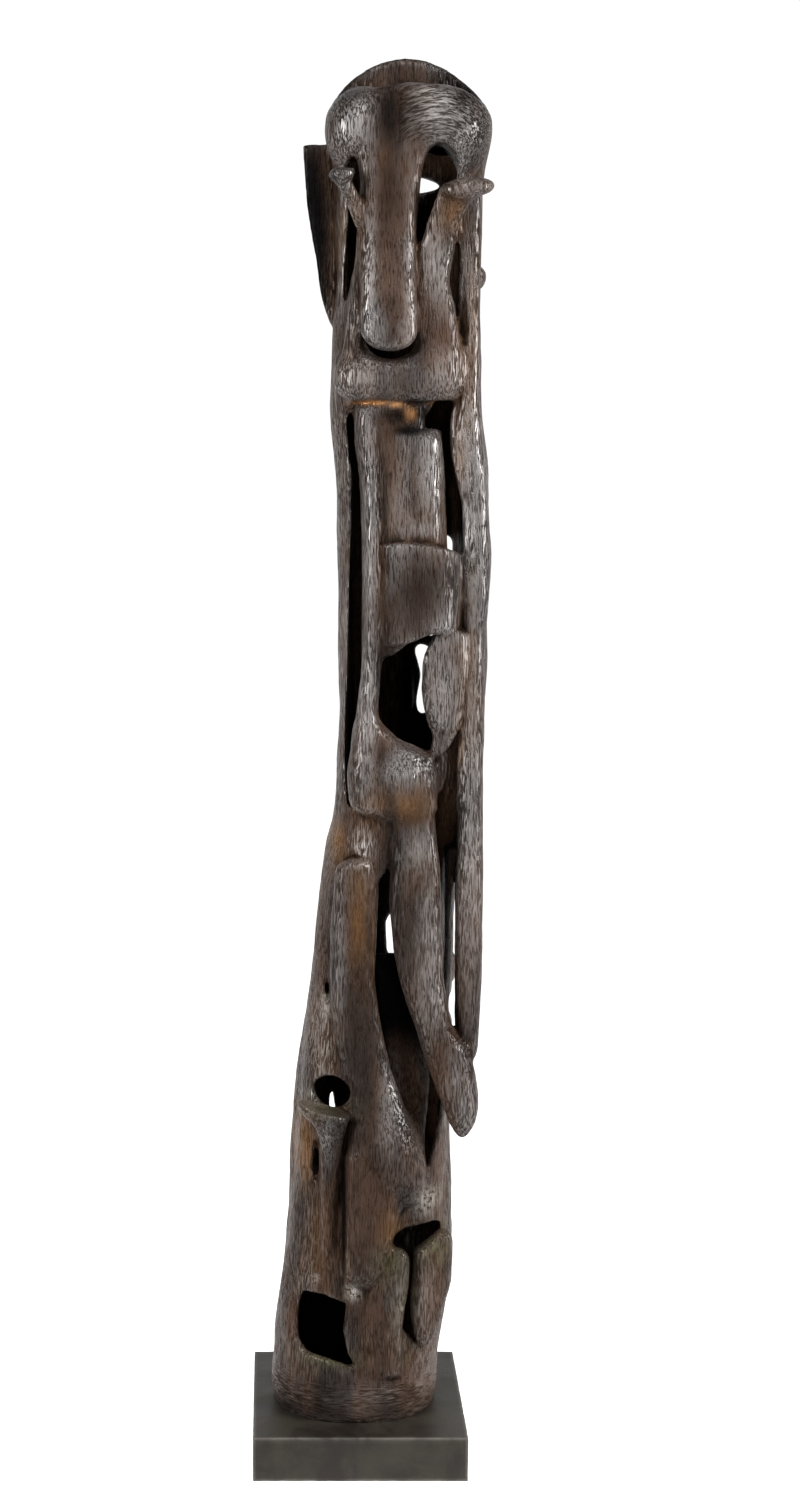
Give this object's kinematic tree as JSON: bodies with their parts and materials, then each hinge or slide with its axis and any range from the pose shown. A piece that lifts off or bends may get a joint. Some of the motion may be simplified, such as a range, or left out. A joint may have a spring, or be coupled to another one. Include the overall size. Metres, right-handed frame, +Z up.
{
  "type": "bronze totem sculpture",
  "caption": "Tall hollow bark-like bronze trunk with an abstract face, slabs, slots and holes, standing on a square metal plinth",
  "frame": {"origin": "the middle of the plinth's underside, which is the mount base", "axes": "+Z up along the trunk, -Y towards the face's viewer, +X to the viewer's right"},
  "size_m": [0.3246, 0.3, 1.9498],
  "materials": {
    "plinth_metal": "dark grey-brown metal, slightly worn edges",
    "brown_bronze": "dark brown patina on cast bronze, greyer on the ridges"
  },
  "bodies": {
    "root": {"plinth": "plinth_metal", "totem": "brown_bronze"}
  },
  "joints": []
}
